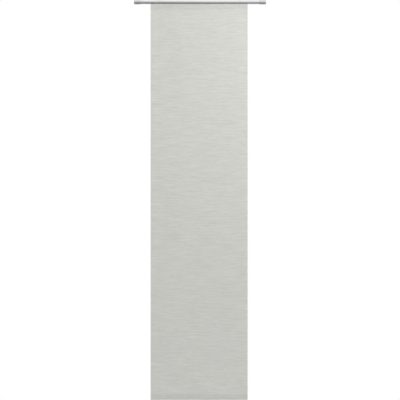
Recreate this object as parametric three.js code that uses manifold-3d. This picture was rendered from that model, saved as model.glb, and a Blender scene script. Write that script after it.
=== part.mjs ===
// A sliding panel curtain: a flat fabric panel that hangs from a carrier, whose gliders run in
// the slot of a round inner-track rod. Two posts hold the rod under a ceiling.
//
// Sizes are in millimetres. +X runs along the rod, -Y faces the room and +Z is up. The origin
// is on the ceiling, above the middle of the rod.

import * as THREE from "three";
import { mergeVertices } from "three/addons/utils/BufferGeometryUtils.js";
import Module from "manifold-3d";

const wasm = await Module();
wasm.setup();

// Clearances
const SEAT = 0.3; // between a piece and what it rests on or is screwed to
const SEWN = 0.2; // between layers that are sewn, stuck or hooked together
const RUNNING = 0.4; // between a glider and the walls that guide it

// Rod, an extrusion with a glider channel below and a nut channel above
const ROD_DIAMETER = 28;
const ROD_OVERALL = 816; // over both end caps
const ROD_WALL = 1.4;
const ROD_WEB = 1.3; // walls inside the rod
const CHANNEL_WIDTH = 11;
const CHANNEL_HEIGHT = 6.5;
const SLOT_WIDTH = 6;
const NUT_CHANNEL_WIDTH = 11;
const NUT_CHANNEL_HEIGHT = 4.5;
const NUT_SLOT_WIDTH = 6.4;

// End caps
const CAP_DIAMETER = 33;
const CAP_LENGTH = 41;
const CAP_SOCKET = 26; // how deep the rod goes in
const CAP_RING = 7; // length of the ring at the mouth
const CAP_GROOVE_WIDTH = 3;
const CAP_GROOVE_DEPTH = 1.1;
const CAP_ROUNDING = 2.5;
const CAP_CHAMFER = 0.8;
const GRUB_DIAMETER = 4;
const GRUB_SOCKET = 2; // across the flats of its hexagon
const GRUB_SETBACK = 18; // from the mouth of the cap

// Ceiling brackets
const CEILING_GAP = 26; // from the ceiling down to the rod
const BRACKET_INSET = 158; // from the outer face of an end cap to the middle of a bracket
const PLATE_DIAMETER = 50;
const PLATE_THICKNESS = 4;
const PLATE_EDGE = 1;
const POST_DIAMETER = 15;
const POST_FILLET = 3;
const SADDLE_LENGTH = 24;
const SADDLE_THICKNESS = 3.5;
const SADDLE_REACH = 34; // degrees that the saddle wraps down each side of the rod
const CEILING_SCREW_SPACING = 37; // the screws pass in front of the rod and behind it
const CEILING_SCREW_HOLE = 4.5;
const COUNTERSINK_DIAMETER = 8.5;
const COUNTERSINK_DEPTH = 2.2;

// Clamp screw and channel nut
const CLAMP_DIAMETER = 5;
const CLAMP_HEAD_DIAMETER = 8.5;
const CLAMP_HEAD_HEIGHT = 5;
const CLAMP_SOCKET = 4; // across the flats of its hexagon
const CLAMP_SOCKET_DEPTH = 2.8;
const CLAMP_RECESS = 0.8; // how far the head lies below the ceiling face
const NUT_LENGTH = 16;
const NUT_THICKNESS = 3;

// End stops in the glider channel
const STOP_LENGTH = 12;
const STOP_SCREW_DIAMETER = 3;
const STOP_HEAD_DIAMETER = 5;
const STOP_HEAD_HEIGHT = 1.8;
const STOP_DRIVER_SLOT = 0.8;
const EDGE_MARGIN = 2.5; // left between the panel's edge and an end cap at full travel

// Gliders
const GLIDER_COUNT = 4;
const GLIDER_INSET = 25; // from the panel's edge to the outer glider
const GLIDER_HEAD_HEIGHT = 3;
const GLIDER_CHAMFER = 0.7;
const GLIDER_COLLAR = 8.4;
const GLIDER_STEM = 4.4;
const GLIDER_BARB = 5.6;
const GLIDER_BARB_HEIGHT = 3;

// Carrier, an angle section whose web bears the hook tape
const CARRIER_INSET = 2; // from the panel's edge to the end of the carrier and its tapes
const CARRIER_DROP = 1.9; // from the rod down to the carrier
const WEB_FOOT = 6; // from the hook tape down to the web's foot
const FLANGE_THICKNESS = 1.8;
const FLANGE_BACK = 5.5; // how far the flange reaches behind the gliders
const WEB_THICKNESS = 1.6;
const WEB_BEHIND = 0.4; // between the gliders' barbs and the web
const BEAD_DIAMETER = 3.2;

// Tapes
const TAPE_HEIGHT = 20;
const TAPE_THICKNESS = 1.2;
const TAPE_DROP = 7; // from the top of the carrier down to its tape

// Fabric panel
const PANEL_WIDTH = 600;
const PANEL_DROP = 2450; // from the top fold to the bottom fold
const PANEL_REST = -5.5; // where the panel hangs along the rod
const HEM_RISE = 0.3; // how far the top fold stands above the rod's lowest line
const HEM_BELOW = 0.8; // how far the hem reaches below the carrier
const HEM_SEAM = 4; // from the hem's free edge up to its seam
const FABRIC = 0.6;
const SEAM = 0.8;
const POCKET_PLAY = 0.3; // between the bar's caps and the pocket, front and back
const POCKET_ROOM = 2.4; // above the bar
const POCKET_NECK = 5; // height over which the pocket narrows to its seam
const POCKET_TURNUP = 5; // fabric above the seam

// Slubs, the thick places in the weft yarns
const SLUB_ROWS = 100;
const SLUBS_IN_ROW = 2;
const SLUB_RELIEF = 0.35; // how far a slub stands out on each face
const SLUB_LENGTH = [70, 190];
const SLUB_HEIGHT = [2.6, 4.6];
const SLUB_MARGIN = 8; // kept clear of the hem and the pocket
const SLUB_SEED = 20;

// Weight bar in the pocket
const BAR_INSET = 7; // from the panel's edge to the end of the bar, under its cap
const BAR_HEIGHT = 20;
const BAR_THICKNESS = 3;
const BAR_ROUNDING = 1;
const BAR_CAP_WALL = 0.6;
const BAR_CAP_SLEEVE = 12;
const BAR_CAP_END = 2;
const BAR_CAP_FIT = 0.1;

// Facets in a full turn, and steps in a small rounding
const FINE = 48;
const MEDIUM = 32;
const COARSE = 18;
const CORNER = 4;

// Places that follow from the sizes. Heights are measured from the rod's axis.
const rodRadius = ROD_DIAMETER / 2;
const capRadius = CAP_DIAMETER / 2;
const axisDrop = CEILING_GAP + rodRadius;
const rodLength = ROD_OVERALL - 2 * (CAP_LENGTH - CAP_SOCKET + SEAT);
const capMouth = ROD_OVERALL / 2 - CAP_LENGTH;
const channelFloor = -Math.sqrt((rodRadius - ROD_WALL) ** 2 - (CHANNEL_WIDTH / 2) ** 2);
const channelRoof = channelFloor + CHANNEL_HEIGHT;
const nutCeiling = Math.sqrt((rodRadius - ROD_WALL) ** 2 - (NUT_CHANNEL_WIDTH / 2) ** 2);
const nutFloor = nutCeiling - NUT_CHANNEL_HEIGHT;
const carrierLength = PANEL_WIDTH - 2 * CARRIER_INSET;
const carrierTop = -rodRadius - CARRIER_DROP;
const webBack = -GLIDER_BARB / 2 - WEB_BEHIND;
const webFront = webBack - WEB_THICKNESS;
const hookTapeFront = webFront - SEWN - TAPE_THICKNESS;
const loopTapeFront = hookTapeFront - SEWN - TAPE_THICKNESS;
const tapeMiddle = carrierTop - TAPE_DROP - TAPE_HEIGHT / 2;
const carrierFoot = tapeMiddle - TAPE_HEIGHT / 2 - WEB_FOOT;
const hemPlane = loopTapeFront - SEWN - FABRIC / 2; // middle of the hem's back layer
const facePlane = hemPlane - FABRIC - SEWN; // middle of the layer that faces the room
const fabricTop = -rodRadius + HEM_RISE;
const fabricBottom = fabricTop - PANEL_DROP;
const hemEdge = carrierFoot - HEM_BELOW;
const barLength = PANEL_WIDTH - 2 * BAR_INSET;
const capThickness = BAR_THICKNESS + 2 * (BAR_CAP_WALL + BAR_CAP_FIT);
const capHeight = BAR_HEIGHT + 2 * (BAR_CAP_WALL + BAR_CAP_FIT);
const pocketDepth = capThickness + 2 * POCKET_PLAY;
const pocketPlane = facePlane + FABRIC + pocketDepth; // middle of the pocket's back layer
const pocketMiddle = (facePlane + pocketPlane) / 2;
// The caps lie in the round bottom of the pocket, whose inner radius is half its depth.
const capRise = pocketDepth / 2 - Math.sqrt((pocketDepth ** 2 - capThickness ** 2) / 4) + SEAT;
const barMiddle = fabricBottom + FABRIC + capRise + capHeight / 2;
const pocketSeam = barMiddle + capHeight / 2 + POCKET_ROOM + POCKET_NECK;
const bracketReach = ROD_OVERALL / 2 - BRACKET_INSET;
const gliderReach = PANEL_WIDTH / 2 - GLIDER_INSET;
const gliderHeadRadius = CHANNEL_WIDTH / 2 - RUNNING;
const travel = capMouth - EDGE_MARGIN - PANEL_WIDTH / 2; // each way from the middle of the rod
const stopFace = travel + gliderReach + gliderHeadRadius + SEAT;

const materials = {
  rod: new THREE.MeshStandardMaterial({ color: 0xb4b5b7, metalness: 0.9, roughness: 0.32 }),
  cap: new THREE.MeshStandardMaterial({ color: 0xa9aaac, metalness: 0.9, roughness: 0.28 }),
  bracket: new THREE.MeshStandardMaterial({ color: 0xb0b1b3, metalness: 0.85, roughness: 0.4 }),
  steel: new THREE.MeshStandardMaterial({ color: 0x8f9194, metalness: 1, roughness: 0.35 }),
  nylon: new THREE.MeshStandardMaterial({ color: 0xe9e9e4, metalness: 0, roughness: 0.5 }),
  carrier: new THREE.MeshStandardMaterial({ color: 0xc4c5c6, metalness: 0.85, roughness: 0.45 }),
  hookTape: new THREE.MeshStandardMaterial({ color: 0xdfdfda, metalness: 0, roughness: 0.9 }),
  loopTape: new THREE.MeshStandardMaterial({ color: 0xd6d6cf, metalness: 0, roughness: 1 }),
  fabric: new THREE.MeshStandardMaterial({ color: 0xcccdc6, metalness: 0, roughness: 0.95 }),
  bar: new THREE.MeshStandardMaterial({ color: 0xbfc0c2, metalness: 0.85, roughness: 0.45 }),
  barCap: new THREE.MeshStandardMaterial({ color: 0xdcdcd8, metalness: 0, roughness: 0.55 }),
};

// Turning closed geometries into solids and back

/** A closed three.js geometry as a solid for joining and cutting. */
function solidOf(geometry) {
  const bare = geometry.clone();
  bare.deleteAttribute("normal");
  bare.deleteAttribute("uv");
  const merged = mergeVertices(bare, 1e-4);
  return new wasm.Manifold(
    new wasm.Mesh({
      numProp: 3,
      vertProperties: merged.attributes.position.array,
      triVerts: new Uint32Array(merged.index.array),
    }),
  );
}

/** A solid as a three.js geometry with flat faces. */
function geometryOf(solid) {
  const { vertProperties, triVerts } = solid.getMesh();
  const geometry = new THREE.BufferGeometry();
  geometry.setAttribute("position", new THREE.BufferAttribute(vertProperties, 3));
  geometry.setIndex(new THREE.BufferAttribute(triVerts, 1));
  const flat = geometry.toNonIndexed();
  flat.computeVertexNormals();
  return flat;
}

/** What is left of a geometry once the other geometries are cut out of it. */
function cut(geometry, ...tools) {
  const left = tools.reduce((solid, tool) => solid.subtract(solidOf(tool)), solidOf(geometry));
  return geometryOf(left);
}

// Forms that several pieces use

const alongX = new THREE.Matrix4().makeBasis(
  new THREE.Vector3(0, 1, 0),
  new THREE.Vector3(0, 0, 1),
  new THREE.Vector3(1, 0, 0),
);

/** A section drawn in Y and Z, extruded along X about x = 0. */
function extrudeAlongX(section, length, curveSegments = CORNER / 2) {
  const options = { depth: length, bevelEnabled: false, curveSegments };
  return new THREE.ExtrudeGeometry(section, options)
    .translate(0, 0, -length / 2)
    .applyMatrix4(alongX);
}

/** A section drawn in X and Y, extruded up from z = bottom. */
function extrudeUp(section, bottom, height) {
  const options = { depth: height, bevelEnabled: false, curveSegments: CORNER / 2 };
  return new THREE.ExtrudeGeometry(section, options).translate(0, 0, bottom);
}

/** A profile of [radius, height] points, turned about Z. */
function turnAboutZ(profile, segments = MEDIUM) {
  const points = profile.map(([radius, height]) => new THREE.Vector2(radius, height));
  return new THREE.LatheGeometry(points, segments).rotateX(Math.PI / 2);
}

/** A profile of [radius, x] points, turned about X. */
function turnAboutX(profile, segments = FINE) {
  const points = profile.map(([radius, x]) => new THREE.Vector2(radius, x));
  return new THREE.LatheGeometry(points, segments).rotateZ(-Math.PI / 2);
}

/** A round drill along Z between two heights. */
function drill(diameter, bottom, top, x = 0, y = 0) {
  const height = top - bottom;
  return new THREE.CylinderGeometry(diameter / 2, diameter / 2, height, MEDIUM)
    .rotateX(Math.PI / 2)
    .translate(x, y, (top + bottom) / 2);
}

/** A round hole in a section. */
function roundHole(diameter) {
  return new THREE.Path(new THREE.EllipseCurve(0, 0, diameter / 2, diameter / 2).getPoints(COARSE));
}

/** A hexagonal key socket, open at z = top. */
function keySocket(acrossFlats, top, depth) {
  const radius = acrossFlats / Math.sqrt(3);
  const height = depth + SEAT;
  return new THREE.CylinderGeometry(radius, radius, height, 6)
    .rotateX(Math.PI / 2)
    .translate(0, 0, top - depth + height / 2);
}

/** A rectangle about a centre, with round corners if a rounding is given. */
function rectangle(width, height, rounding = 0, centreX = 0, centreY = 0) {
  const shape = new THREE.Shape();
  const left = centreX - width / 2;
  const right = centreX + width / 2;
  const low = centreY - height / 2;
  const high = centreY + height / 2;
  if (rounding === 0) {
    shape.moveTo(left, low).lineTo(right, low).lineTo(right, high).lineTo(left, high);
    return shape;
  }
  shape.absarc(right - rounding, low + rounding, rounding, -Math.PI / 2, 0);
  shape.absarc(right - rounding, high - rounding, rounding, 0, Math.PI / 2);
  shape.absarc(left + rounding, high - rounding, rounding, Math.PI / 2, Math.PI);
  shape.absarc(left + rounding, low + rounding, rounding, Math.PI, 1.5 * Math.PI);
  return shape;
}

/** A named piece at a place in its group. */
function piece(name, geometry, material, x = 0, y = 0, z = 0) {
  const mesh = new THREE.Mesh(geometry, material);
  mesh.name = name;
  mesh.position.set(x, y, z);
  return mesh;
}

// Rod

/** The outline goes round the rod, into the nut channel above and the glider channel below. */
function rodSection() {
  const slot = SLOT_WIDTH / 2;
  const channel = CHANNEL_WIDTH / 2;
  const nutSlot = NUT_SLOT_WIDTH / 2;
  const nutChannel = NUT_CHANNEL_WIDTH / 2;
  const slotAngle = Math.asin(slot / rodRadius);
  const nutSlotAngle = Math.asin(nutSlot / rodRadius);
  const bottom = -Math.PI / 2;
  const top = Math.PI / 2;

  const section = new THREE.Shape();
  section.absarc(0, 0, rodRadius, bottom + slotAngle, top - nutSlotAngle);
  section.lineTo(nutSlot, nutCeiling).lineTo(nutChannel, nutCeiling);
  section.lineTo(nutChannel, nutFloor).lineTo(-nutChannel, nutFloor);
  section.lineTo(-nutChannel, nutCeiling).lineTo(-nutSlot, nutCeiling);
  section.absarc(0, 0, rodRadius, top + nutSlotAngle, 2 * Math.PI + bottom - slotAngle);
  section.lineTo(-slot, channelFloor).lineTo(-channel, channelFloor);
  section.lineTo(-channel, channelRoof).lineTo(channel, channelRoof);
  section.lineTo(channel, channelFloor).lineTo(slot, channelFloor);

  const inside = rodRadius - ROD_WALL;
  const sideWall = Math.max(channel, nutChannel) + ROD_WEB;
  const sideAngle = Math.acos(sideWall / inside);
  const rightChamber = new THREE.Path().absarc(0, 0, inside, -sideAngle, sideAngle);
  const leftChamber = new THREE.Path();
  leftChamber.absarc(0, 0, inside, Math.PI - sideAngle, Math.PI + sideAngle);
  const middleLow = channelRoof + ROD_WEB;
  const middleHigh = nutFloor - ROD_WEB;
  const middleHalf = sideWall - ROD_WEB;
  const middleChamber = new THREE.Path();
  middleChamber.moveTo(-middleHalf, middleLow).lineTo(middleHalf, middleLow);
  middleChamber.lineTo(middleHalf, middleHigh).lineTo(-middleHalf, middleHigh);
  section.holes.push(rightChamber, leftChamber, middleChamber);
  return section;
}

function trackRod() {
  return piece("track_rod", extrudeAlongX(rodSection(), rodLength, FINE / 4), materials.rod);
}

// End caps

/** The cap of the right-hand end, with its mouth at x = 0. */
function capGeometry() {
  const bore = rodRadius + SEAT;
  const groove = capRadius - CAP_GROOVE_DEPTH;
  const grooveEnd = CAP_RING + CAP_GROOVE_WIDTH;
  const profile = [
    [0, CAP_SOCKET],
    [bore, CAP_SOCKET],
    [bore, 0],
    [capRadius - CAP_CHAMFER, 0],
    [capRadius, CAP_CHAMFER],
    [capRadius, CAP_RING],
    [groove, CAP_RING],
    [groove, grooveEnd],
    [capRadius, grooveEnd],
  ];
  for (let step = 0; step <= CORNER; step++) {
    const angle = (step / CORNER) * (Math.PI / 2);
    const radius = capRadius - CAP_ROUNDING * (1 - Math.cos(angle));
    profile.push([radius, CAP_LENGTH - CAP_ROUNDING * (1 - Math.sin(angle))]);
  }
  profile.push([0, CAP_LENGTH]);
  const grubHole = drill(GRUB_DIAMETER + 2 * SEWN, bore - 1, capRadius + 1)
    .rotateX(-Math.PI / 2)
    .translate(GRUB_SETBACK, 0, 0);
  return cut(turnAboutX(profile), grubHole);
}

/** A headless screw along Z, with its tip at z = 0. */
function grubGeometry() {
  const length = capRadius - rodRadius - 2 * SEAT;
  const tip = GRUB_DIAMETER / 2 - CAP_CHAMFER / 2;
  const body = turnAboutZ([
    [0, 0],
    [tip, 0],
    [GRUB_DIAMETER / 2, CAP_CHAMFER / 2],
    [GRUB_DIAMETER / 2, length],
    [0, length],
  ], COARSE);
  return cut(body, keySocket(GRUB_SOCKET, length, length / 2));
}

function endCaps() {
  const cap = capGeometry();
  const grub = grubGeometry().rotateX(-Math.PI / 2);
  return [-1, 1].flatMap((side) => {
    const name = side < 0 ? "left" : "right";
    const capPiece = piece(`end_cap_${name}`, cap, materials.cap, side * capMouth);
    capPiece.rotation.y = side < 0 ? Math.PI : 0;
    const grubX = side * (capMouth + GRUB_SETBACK);
    const grubY = rodRadius + SEAT;
    return [capPiece, piece(`cap_screw_${name}`, grub, materials.steel, grubX, grubY)];
  });
}

// Ceiling brackets

/** The saddle, a strip bent over the top of the rod. */
function saddleGeometry() {
  const inner = rodRadius + SEAT;
  const outer = inner + SADDLE_THICKNESS;
  const reach = THREE.MathUtils.degToRad(SADDLE_REACH);
  const section = new THREE.Shape();
  section.absarc(0, 0, outer, Math.PI / 2 - reach, Math.PI / 2 + reach);
  section.absarc(0, 0, inner, Math.PI / 2 + reach, Math.PI / 2 - reach, true);
  return extrudeAlongX(section, SADDLE_LENGTH, FINE / 8);
}

/** The plate and post, turned in one, with their top face on the ceiling. */
function postGeometry() {
  const post = POST_DIAMETER / 2;
  const plate = PLATE_DIAMETER / 2;
  const underside = axisDrop - PLATE_THICKNESS;
  const profile = [
    [0, rodRadius + SEAT + SADDLE_THICKNESS / 2],
    [post, rodRadius + SEAT + SADDLE_THICKNESS / 2],
  ];
  for (let step = 0; step <= CORNER; step++) {
    const angle = (step / CORNER) * (Math.PI / 2);
    const radius = post + POST_FILLET * (1 - Math.cos(angle));
    profile.push([radius, underside - POST_FILLET * (1 - Math.sin(angle))]);
  }
  profile.push([plate - PLATE_EDGE, underside], [plate, underside + PLATE_EDGE]);
  profile.push([plate, axisDrop], [0, axisDrop]);
  return turnAboutZ(profile, MEDIUM);
}

/** A countersunk hole through the plate, for a screw driven up into the ceiling. */
function ceilingScrewHole(y) {
  const underside = axisDrop - PLATE_THICKNESS;
  const hole = CEILING_SCREW_HOLE / 2;
  const sink = COUNTERSINK_DIAMETER / 2;
  return turnAboutZ(
    [
      [0, underside - SEAT],
      [sink, underside - SEAT],
      [sink, underside],
      [hole, underside + COUNTERSINK_DEPTH],
      [hole, axisDrop + SEAT],
      [0, axisDrop + SEAT],
    ],
    COARSE,
  ).translate(0, y, 0);
}

function bracketGeometry() {
  const headSeat = axisDrop - CLAMP_RECESS - CLAMP_HEAD_HEIGHT - SEAT;
  const tools = [
    drill(CLAMP_DIAMETER + 2 * SEAT, 0, axisDrop),
    drill(CLAMP_HEAD_DIAMETER + 2 * SEAT, headSeat, axisDrop + SEAT),
    ceilingScrewHole(-CEILING_SCREW_SPACING / 2),
    ceilingScrewHole(CEILING_SCREW_SPACING / 2),
  ];
  const whole = solidOf(postGeometry()).add(solidOf(saddleGeometry()));
  return geometryOf(tools.reduce((solid, tool) => solid.subtract(solidOf(tool)), whole));
}

/** The clamp screw, from the nut in the rod up to its head in the plate. */
function clampScrewGeometry() {
  const headTop = axisDrop - CLAMP_RECESS;
  const headLow = headTop - CLAMP_HEAD_HEIGHT;
  const tip = nutFloor + SEAT;
  const shank = CLAMP_DIAMETER / 2;
  const head = CLAMP_HEAD_DIAMETER / 2;
  const chamfer = CLAMP_HEAD_HEIGHT / 10;
  const body = turnAboutZ(
    [
      [0, tip],
      [shank - chamfer, tip],
      [shank, tip + chamfer],
      [shank, headLow],
      [head, headLow],
      [head, headTop - chamfer],
      [head - chamfer, headTop],
      [0, headTop],
    ],
    COARSE,
  );
  return cut(body, keySocket(CLAMP_SOCKET, headTop, CLAMP_SOCKET_DEPTH));
}

/** The nut that the clamp screw draws up under the lips of the rod's upper channel. */
function channelNutGeometry() {
  const plan = rectangle(NUT_LENGTH, NUT_CHANNEL_WIDTH - 2 * SEAT, 1);
  plan.holes.push(roundHole(CLAMP_DIAMETER + 2 * SEWN));
  return extrudeUp(plan, nutCeiling - SEAT - NUT_THICKNESS, NUT_THICKNESS);
}

function brackets() {
  const bracket = bracketGeometry();
  const screw = clampScrewGeometry();
  const nut = channelNutGeometry();
  return [-1, 1].flatMap((side) => {
    const name = side < 0 ? "left" : "right";
    const x = side * bracketReach;
    return [
      piece(`ceiling_bracket_${name}`, bracket, materials.bracket, x),
      piece(`clamp_screw_${name}`, screw, materials.steel, x),
      piece(`channel_nut_${name}`, nut, materials.steel, x),
    ];
  });
}

// End stops

function stopBlockGeometry() {
  const plan = rectangle(STOP_LENGTH, CHANNEL_WIDTH - 2 * RUNNING, 1);
  plan.holes.push(roundHole(STOP_SCREW_DIAMETER + 2 * SEWN));
  return extrudeUp(plan, channelFloor + SEAT, CHANNEL_HEIGHT - 2 * SEAT);
}

/** The screw is turned from below, through the slot, and braces the block in its channel. */
function stopScrewGeometry() {
  const headTop = channelFloor;
  const headLow = headTop - STOP_HEAD_HEIGHT;
  const shank = STOP_SCREW_DIAMETER / 2;
  const head = STOP_HEAD_DIAMETER / 2;
  const body = turnAboutZ(
    [
      [0, headLow],
      [head, headLow],
      [head, headTop],
      [shank, headTop],
      [shank, channelRoof - SEAT],
      [0, channelRoof - SEAT],
    ],
    COARSE,
  );
  const slotDepth = STOP_HEAD_HEIGHT / 2;
  const driverSlot = new THREE.BoxGeometry(2 * head, STOP_DRIVER_SLOT, 2 * slotDepth);
  return cut(body, driverSlot.translate(0, 0, headLow));
}

function endStops() {
  const block = stopBlockGeometry();
  const screw = stopScrewGeometry();
  return [-1, 1].flatMap((side) => {
    const name = side < 0 ? "left" : "right";
    const x = side * (stopFace + STOP_LENGTH / 2);
    return [
      piece(`end_stop_${name}`, block, materials.nylon, x),
      piece(`stop_screw_${name}`, screw, materials.steel, x),
    ];
  });
}

// Gliders

/** A glider: a head in the channel, a neck in the slot, a collar, and a barb in the flange. */
function gliderGeometry() {
  const headLow = channelFloor + SEAT;
  const headHigh = headLow + GLIDER_HEAD_HEIGHT;
  const neck = SLOT_WIDTH / 2 - RUNNING;
  const collarHigh = -rodRadius - RUNNING;
  const flangeTop = carrierTop + SEAT;
  const barbHigh = carrierTop - FLANGE_THICKNESS - SEAT;
  const barbLow = barbHigh - GLIDER_BARB_HEIGHT;
  const stem = GLIDER_STEM / 2;
  return turnAboutZ(
    [
      [0, barbLow],
      [stem - GLIDER_CHAMFER, barbLow],
      [GLIDER_BARB / 2, barbHigh - GLIDER_CHAMFER],
      [GLIDER_BARB / 2, barbHigh],
      [stem, barbHigh],
      [stem, flangeTop],
      [GLIDER_COLLAR / 2, flangeTop],
      [GLIDER_COLLAR / 2, collarHigh],
      [neck, collarHigh],
      [neck, headLow],
      [gliderHeadRadius - GLIDER_CHAMFER, headLow],
      [gliderHeadRadius, headLow + GLIDER_CHAMFER],
      [gliderHeadRadius, headHigh - GLIDER_CHAMFER],
      [gliderHeadRadius - 2 * GLIDER_CHAMFER, headHigh],
      [0, headHigh],
    ],
    COARSE,
  );
}

/** Where the gliders stand along the carrier. */
function gliderPlaces() {
  const pitch = (2 * gliderReach) / (GLIDER_COUNT - 1);
  return Array.from({ length: GLIDER_COUNT }, (_, index) => index * pitch - gliderReach);
}

function gliders() {
  const glider = gliderGeometry();
  return gliderPlaces().map((x, index) => piece(`glider_${index + 1}`, glider, materials.nylon, x));
}

// Carrier

/** An angle section: a flange under the rod, and a web in front with a bead along its foot. */
function carrierSection() {
  const flangeLow = carrierTop - FLANGE_THICKNESS;
  const bead = BEAD_DIAMETER / 2;
  const beadCentre = webFront + bead;
  const beadEnd = 2 * Math.PI + Math.acos((webBack - beadCentre) / bead);
  const section = new THREE.Shape();
  section.moveTo(FLANGE_BACK, carrierTop).lineTo(webFront, carrierTop);
  section.absarc(beadCentre, carrierFoot + bead, bead, Math.PI, beadEnd);
  section.lineTo(webBack, flangeLow).lineTo(FLANGE_BACK, flangeLow);
  return section;
}

function carrier() {
  const flangeLow = carrierTop - FLANGE_THICKNESS;
  const holes = gliderPlaces().map((x) =>
    drill(GLIDER_STEM + 2 * SEWN, flangeLow - SEAT, carrierTop + SEAT, x),
  );
  const section = extrudeAlongX(carrierSection(), carrierLength, CORNER);
  return piece("carrier", cut(section, ...holes), materials.carrier);
}

// Tapes

function tape(name, front, material) {
  const section = rectangle(TAPE_THICKNESS, TAPE_HEIGHT);
  const geometry = extrudeAlongX(section, carrierLength);
  return piece(name, geometry, material, 0, front + TAPE_THICKNESS / 2, tapeMiddle);
}

// Fabric panel

/** The line that the fabric follows, seen from its edge, from the hem down to the pocket. */
function fabricLine() {
  const topBend = (hemPlane - facePlane) / 2;
  const bottomBend = (pocketPlane - facePlane) / 2;
  const seamPlane = facePlane + FABRIC + SEWN;
  const line = new THREE.Path();
  line.moveTo(hemPlane, hemEdge);
  line.lineTo(hemPlane, fabricTop - FABRIC / 2 - topBend);
  line.absarc(facePlane + topBend, fabricTop - FABRIC / 2 - topBend, topBend, 0, Math.PI);
  line.lineTo(facePlane, fabricBottom + FABRIC / 2 + bottomBend);
  line.absarc(pocketMiddle, fabricBottom + FABRIC / 2 + bottomBend, bottomBend, Math.PI, 2 * Math.PI);
  line.lineTo(pocketPlane, pocketSeam - POCKET_NECK);
  line.lineTo(seamPlane, pocketSeam - SEAM);
  line.lineTo(seamPlane, pocketSeam + POCKET_TURNUP);
  return line.getPoints(CORNER);
}

/** The outline of a strip of an even thickness that follows a line. */
function stripOutline(line, thickness) {
  const leftSide = [];
  const rightSide = [];
  line.forEach((point, index) => {
    const before = line[Math.max(index - 1, 0)];
    const after = line[Math.min(index + 1, line.length - 1)];
    const into = point.clone().sub(before).normalize();
    const out = after.clone().sub(point).normalize();
    if (index === 0) into.copy(out);
    if (index === line.length - 1) out.copy(into);
    const along = into.clone().add(out).normalize();
    const normal = new THREE.Vector2(-along.y, along.x);
    const reach = thickness / 2 / along.dot(into);
    leftSide.push(point.clone().addScaledVector(normal, reach));
    rightSide.unshift(point.clone().addScaledVector(normal, -reach));
  });
  return new THREE.Shape([...leftSide, ...rightSide]);
}

/** A row of stitches through two layers, from the face layer to the one behind it. */
function seam(height) {
  const depth = FABRIC + SEWN;
  const section = rectangle(depth, SEAM, 0, facePlane + depth / 2, height);
  return extrudeAlongX(section, PANEL_WIDTH);
}

/** A repeatable stream of numbers between 0 and 1. */
function* randomNumbers(seed) {
  let state = seed;
  for (;;) {
    state = (state * 1664525 + 1013904223) % 4294967296;
    yield state / 4294967296;
  }
}

/** A thick place in a yarn: it swells out of both faces of the cloth and thins at its ends. */
function slub(x, z, length, height) {
  const halfDepth = FABRIC / 2 + SLUB_RELIEF;
  const spread = halfDepth / SLUB_RELIEF; // widens the form so that it has its size at the face
  return new THREE.OctahedronGeometry(1)
    .scale((spread * length) / 2, halfDepth, (spread * height) / 2)
    .translate(x, facePlane, z);
}

/** The slubs lie along the weft, scattered in rows from the hem to the pocket. */
function slubs() {
  const numbers = randomNumbers(SLUB_SEED);
  const between = ([low, high]) => low + (high - low) * numbers.next().value;
  const high = hemEdge - SLUB_MARGIN;
  const low = pocketSeam + POCKET_TURNUP + SLUB_MARGIN;
  const pitch = (high - low) / SLUB_ROWS;
  const share = PANEL_WIDTH / SLUBS_IN_ROW;
  const scattered = [];
  for (let row = 0; row < SLUB_ROWS; row++) {
    for (let index = 0; index < SLUBS_IN_ROW; index++) {
      const x = (index + between([0, 1])) * share - PANEL_WIDTH / 2;
      const z = high - (row + between([0.2, 0.8])) * pitch;
      scattered.push(slub(x, z, between(SLUB_LENGTH), between(SLUB_HEIGHT)));
    }
  }
  return scattered;
}

function fabricPanel() {
  const sheet = extrudeAlongX(stripOutline(fabricLine(), FABRIC), PANEL_WIDTH);
  const hemSeam = seam(hemEdge + HEM_SEAM);
  const cloth = [hemSeam, seam(pocketSeam), ...slubs()].reduce(
    (solid, added) => solid.add(solidOf(added)),
    solidOf(sheet),
  );
  const trimmed = cloth.intersect(
    solidOf(
      new THREE.BoxGeometry(PANEL_WIDTH, PANEL_DROP, 2 * PANEL_DROP)
        .translate(0, 0, fabricBottom + PANEL_DROP / 2),
    ),
  );
  return piece("fabric_panel", geometryOf(trimmed), materials.fabric);
}

// Weight bar

function weightBar() {
  const section = rectangle(BAR_THICKNESS, BAR_HEIGHT, BAR_ROUNDING);
  const geometry = extrudeAlongX(section, barLength);
  return piece("weight_bar", geometry, materials.bar, 0, pocketMiddle, barMiddle);
}

/** A sleeve over the end of the bar, closed at the outside. */
function barCapGeometry() {
  const outer = extrudeAlongX(
    rectangle(capThickness, capHeight, BAR_ROUNDING + BAR_CAP_WALL),
    BAR_CAP_SLEEVE + BAR_CAP_END,
  ).translate((BAR_CAP_SLEEVE + BAR_CAP_END) / 2, 0, 0);
  const inner = extrudeAlongX(
    rectangle(capThickness - 2 * BAR_CAP_WALL, capHeight - 2 * BAR_CAP_WALL, BAR_ROUNDING),
    2 * BAR_CAP_SLEEVE,
  );
  return cut(outer, inner);
}

function barCaps() {
  const cap = barCapGeometry();
  const mouth = barLength / 2 - BAR_CAP_SLEEVE + BAR_CAP_FIT;
  return [-1, 1].map((side) => {
    const name = side < 0 ? "bar_cap_left" : "bar_cap_right";
    const capPiece = piece(name, cap, materials.barCap, side * mouth, pocketMiddle, barMiddle);
    capPiece.rotation.y = side < 0 ? Math.PI : 0;
    return capPiece;
  });
}

// Assembly

const fixed = new THREE.Group();
fixed.position.z = -axisDrop;
fixed.add(trackRod(), ...endCaps(), ...brackets(), ...endStops());

const sliding = new THREE.Group();
sliding.position.set(PANEL_REST, 0, -axisDrop);
sliding.add(...gliders(), carrier());
sliding.add(tape("hook_tape", hookTapeFront, materials.hookTape));
sliding.add(tape("loop_tape", loopTapeFront, materials.loopTape));
sliding.add(fabricPanel(), weightBar(), ...barCaps());

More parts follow.
